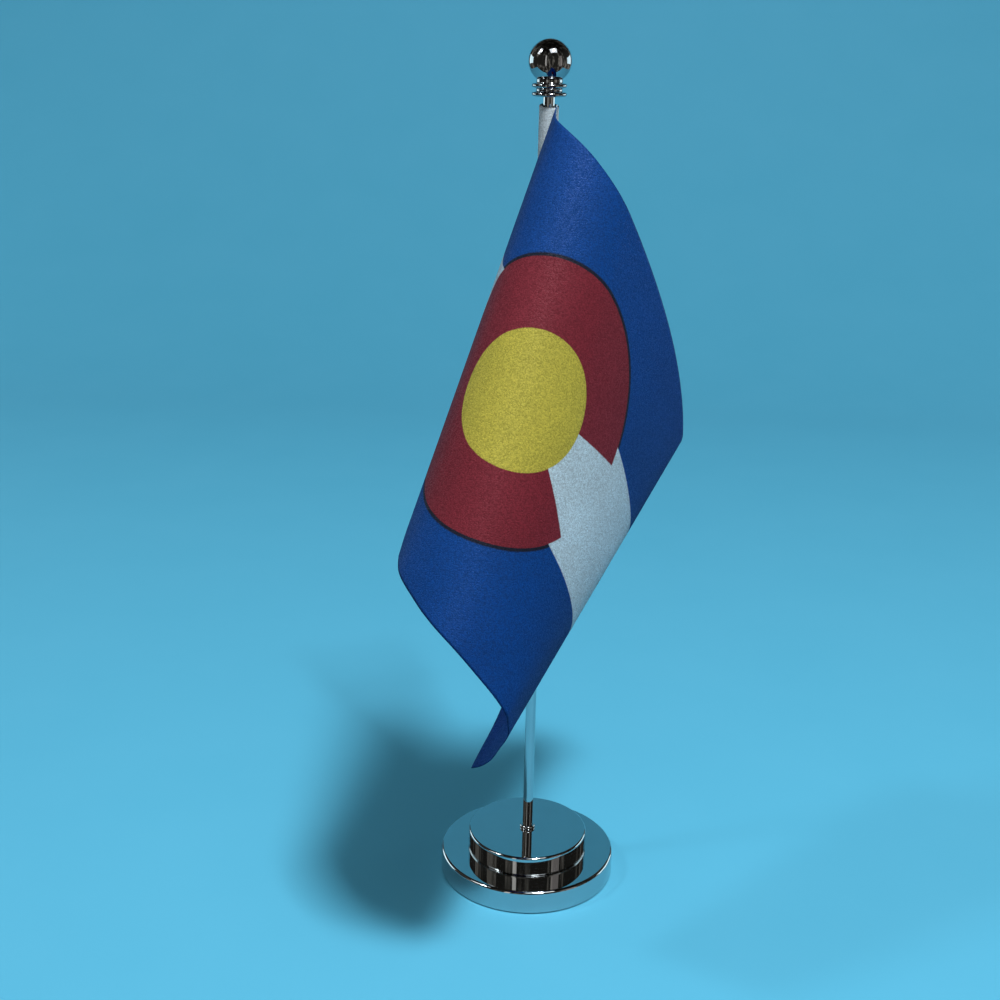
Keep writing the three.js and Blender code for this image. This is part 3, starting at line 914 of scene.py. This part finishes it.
def add_softbox(name, direction, distance, width, height, power, colour):
    """A rectangular light that faces the middle of the flag."""
    light = bpy.data.lights.new(name, "AREA")
    light.shape = "RECTANGLE"
    light.size = width
    light.size_y = height
    light.energy = power
    light.color = colour
    lamp = bpy.data.objects.new(name, light)
    bpy.context.scene.collection.objects.link(lamp)
    direction = Vector(direction).normalized()
    lamp.location = LIGHT_TARGET + direction * distance
    lamp.rotation_euler = direction.to_track_quat("Z", "Y").to_euler()


def light_room():
    """A dim room with faint upright streaks, which the polished metal mirrors, and soft boxes above."""
    world = bpy.data.worlds.new("studio")
    bpy.context.scene.world = world
    world.use_nodes = True
    tree = world.node_tree
    tree.nodes.clear()
    way = put(tree, "ShaderNodeTexCoord").outputs["Generated"]
    upright = put(tree, "ShaderNodeMapping", {"Vector": way, "Scale": (5.5, 5.5, 1.1)}).outputs[0]
    streaks = put(tree, "ShaderNodeTexNoise", {
        "Vector": upright, "Scale": 1, "Detail": 3, "Roughness": 0.6})
    share = put(tree, "ShaderNodeMapRange", {
        "Value": streaks.outputs[0], "From Min": 0.5, "From Max": 0.66}, interpolation_type="SMOOTHSTEP")
    room = put(tree, "ShaderNodeMix", {
        MIX_SHARE: share.outputs[0], MIX_FIRST: linear(ROOM_DARK), MIX_SECOND: linear(ROOM_LIGHT)},
        data_type="RGBA")
    parts = put(tree, "ShaderNodeSeparateXYZ", {0: way})
    low = put(tree, "ShaderNodeMapRange", {
        "Value": parts.outputs[2], "From Min": 0.3, "From Max": 0.9, "To Min": 1, "To Max": 0.12},
        interpolation_type="SMOOTHSTEP")
    sky = put(tree, "ShaderNodeBackground", {
        "Color": room.outputs[MIX_COLOUR], "Strength": low.outputs[0]})
    put(tree, "ShaderNodeOutputWorld", {"Surface": sky.outputs[0]})
    add_softbox("key", (0.22, -0.44, 0.87), 1.5, 0.24, 0.2, 36, COOL_LIGHT)
    add_softbox("key_glow", (0.22, -0.46, 0.85), 1.55, 0.84, 0.6, 3.3, COOL_LIGHT)
    add_softbox("side", (-0.64, -0.2, 0.74), 1.5, 0.16, 0.16, 4.6, COOL_LIGHT)
    add_softbox("side_glow", (-0.7, -0.16, 0.7), 1.55, 0.36, 0.7, 1.6, COOL_LIGHT)
    add_softbox("back_right", (0.85, 0.52, 0.12), 1.4, 0.9, 0.45, 2.6, BLUE_LIGHT)
    add_softbox("back_left", (-0.85, 0.52, 0.12), 1.4, 0.9, 0.45, 2.6, BLUE_LIGHT)
    add_softbox("right_panel", (0.85, -0.5, 0.1), 1.4, 0.4, 1.2, 0.4, (1, 0.9, 0.86))
    add_softbox("window", (-0.38, -0.9, 0.12), 1.6, 0.2, 1.5, 0.7, (1, 0.97, 0.92))
    bpy.context.scene.view_settings.view_transform = "Standard"


# ---- Assembly -----------------------------------------------------------------------------------

add_camera()
make_floor()
light_room()

chrome = chrome_plate("chrome_plate", "#c6c8c9", 0.015, 0.05)
make_base(chrome, eva_foam())
make_rod(chrome)
make_finial(chrome_plate("dark_chrome_plate", "#a9aaac", 0.01, 0.04))
finish_hidden_nodes()

drape = Drape()
right_side = cloth("printed_pongee", FLAG_FLAT, printed_colour, 1.0, 0.55)
# The reverse side is the same print made 15% lighter: partly the print showing through the cloth, partly
# painted light that makes up for the hanging tail facing away from the lamps.
wrong_side = cloth("printed_pongee_reverse", FLAG_FLAT, printed_colour, 1.15, 0.55)
flag = make_flag(drape, [right_side, wrong_side, wrong_side])
white = cloth("white_pongee", SLEEVE_FLAT, shaded_sleeve_white, 1.0, 0.3)
sleeve = make_sleeve([white, white, white])
stitches = make_stitches(drape, white_thread())
